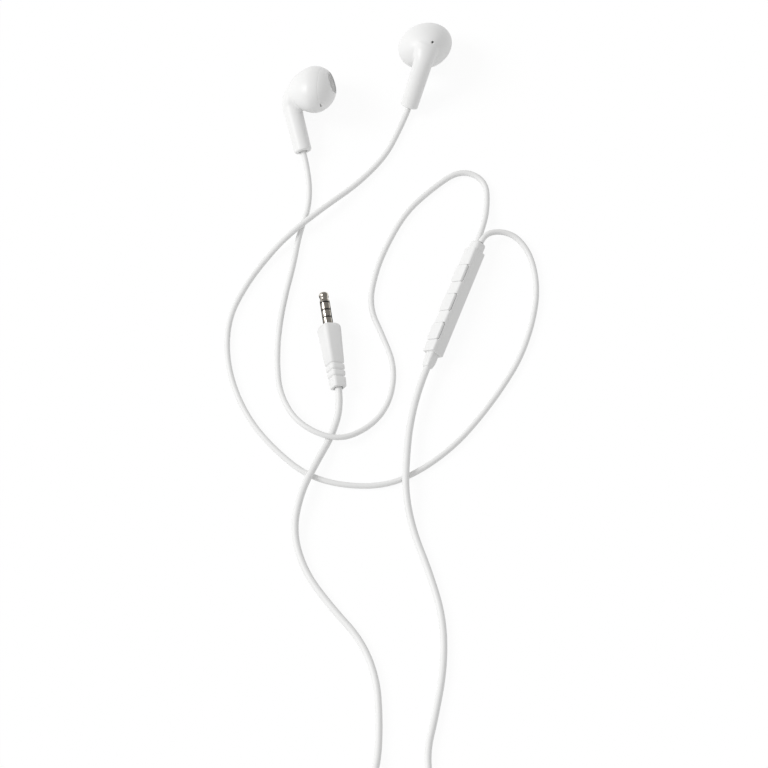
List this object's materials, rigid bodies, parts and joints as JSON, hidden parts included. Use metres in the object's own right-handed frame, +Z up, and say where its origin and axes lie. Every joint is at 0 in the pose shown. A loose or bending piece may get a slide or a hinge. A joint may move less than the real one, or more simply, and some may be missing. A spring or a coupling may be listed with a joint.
{
  "type": "wired earphones",
  "caption": "Wired half-in-ear stereo earphones with stems, a slim in-line remote with volume and play buttons, and a straight 3.5 mm plug.",
  "frame": {"origin": "on the table under the middle of the box round the two earbuds and the remote", "axes": "+X to the right in the picture, +Y away from the viewer along the remote and the run of the cords, +Z up from the table"},
  "size_m": [0.1106, 0.3675, 0.0177],
  "materials": {
    "shell_white": "smooth satin-gloss white ABS",
    "cord_white": "soft satin white TPE",
    "remote_white": "smooth satin white ABS",
    "contact_metal": "bright nickel plate",
    "band_black": "black insulating plastic",
    "grille_metal": "fine pierced steel, light grey",
    "driver_plastic": "dark moulded nylon",
    "iron": "zinc-plated soft iron",
    "magnet": "nickel-plated magnet",
    "copper": "enamelled copper wire",
    "film": "clear polyester film",
    "soft_white": "soft white elastomer",
    "board_green": "solder-masked laminate",
    "switch_metal": "stamped stainless steel",
    "tie_white": "flat nylon strap"
  },
  "bodies": {
    "earphones": {"left_rear_shell": "shell_white", "left_front_shell": "shell_white", "left_grille": "grille_metal", "left_driver_basket": "driver_plastic", "left_yoke": "iron", "left_magnet": "magnet", "left_top_plate": "iron", "left_voice_coil": "copper", "left_diaphragm": "film", "left_vent_mesh": "grille_metal", "left_cord_bush": "soft_white", "left_lead_wires": "copper", "right_rear_shell": "shell_white", "right_front_shell": "shell_white", "right_grille": "grille_metal", "right_driver_basket": "driver_plastic", "right_yoke": "iron", "right_magnet": "magnet", "right_top_plate": "iron", "right_voice_coil": "copper", "right_diaphragm": "film", "right_vent_mesh": "grille_metal", "right_cord_bush": "soft_white", "right_lead_wires": "copper", "remote_back_shell": "remote_white", "remote_button_shell": "remote_white", "volume_up_switch": "switch_metal", "play_switch": "switch_metal", "volume_down_switch": "switch_metal", "remote_circuit_board": "board_green", "remote_microphone": "switch_metal", "remote_fork_neck": "soft_white", "remote_cord_relief": "soft_white", "plug_tip": "contact_metal", "plug_first_ring": "contact_metal", "plug_second_ring": "contact_metal", "plug_sleeve": "contact_metal", "plug_tip_band": "band_black", "plug_ring_band": "band_black", "plug_sleeve_band": "band_black", "plug_insulating_core": "band_black", "plug_inner_moulding": "soft_white", "plug_moulding": "soft_white", "left_cord": "cord_white", "right_cord": "cord_white", "main_cord_upper": "cord_white", "main_cord_lower": "cord_white", "main_cord_hank": "cord_white", "hank_tie": "tie_white"},
    "volume_up": {"volume_up_button": "remote_white"},
    "play": {"play_button": "remote_white"},
    "volume_down": {"volume_down_button": "remote_white"}
  },
  "joints": [
    {"name": "volume_up_press", "type": "slide", "parent": "earphones", "child": "volume_up", "axis": [0.662, -0.2486, -0.7071], "range_m": [0, 0.0002], "stiffness_N_per_m": 800, "springref_m": -0.0002},
    {"name": "play_press", "type": "slide", "parent": "earphones", "child": "play", "axis": [0.662, -0.2486, -0.7071], "range_m": [0, 0.0002], "stiffness_N_per_m": 800, "springref_m": -0.0002},
    {"name": "volume_down_press", "type": "slide", "parent": "earphones", "child": "volume_down", "axis": [0.662, -0.2486, -0.7071], "range_m": [0, 0.0002], "stiffness_N_per_m": 800, "springref_m": -0.0002}
  ]
}
